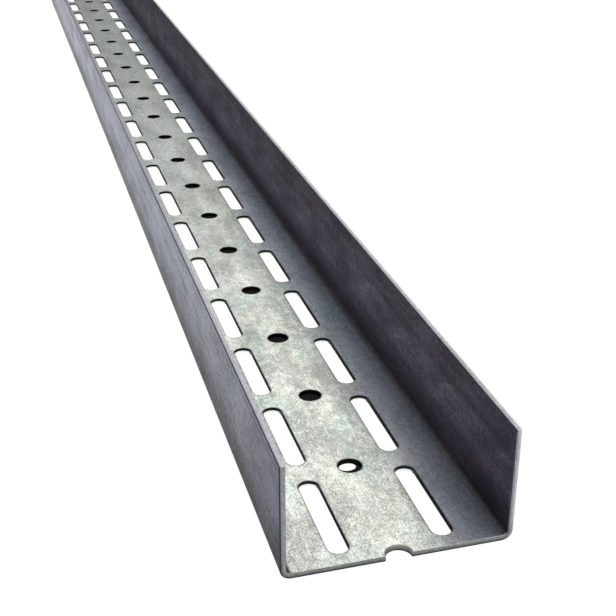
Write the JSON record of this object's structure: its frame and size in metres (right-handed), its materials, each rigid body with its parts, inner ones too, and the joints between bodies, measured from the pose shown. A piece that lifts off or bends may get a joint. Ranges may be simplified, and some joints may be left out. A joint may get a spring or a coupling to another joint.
{
  "type": "drywall metal stud",
  "caption": "Straight U-shaped galvanised steel stud with plain flanges and a web punched with rows of slots and a centre row of round holes, for stiff door openings and tall walls.",
  "frame": {"origin": "middle of the back of the web, at half the stud's length, on the surface that the stud lies on", "axes": "+X along the stud from the near end to the far end, +Y across the web, +Z from the web's back to the flange tips"},
  "size_m": [3, 0.075, 0.04],
  "materials": {
    "galvanised_steel": "hot-dip galvanised, dull fine spangle, sheared edges bare"
  },
  "bodies": {
    "root": {"stud_channel": "galvanised_steel"}
  },
  "joints": []
}
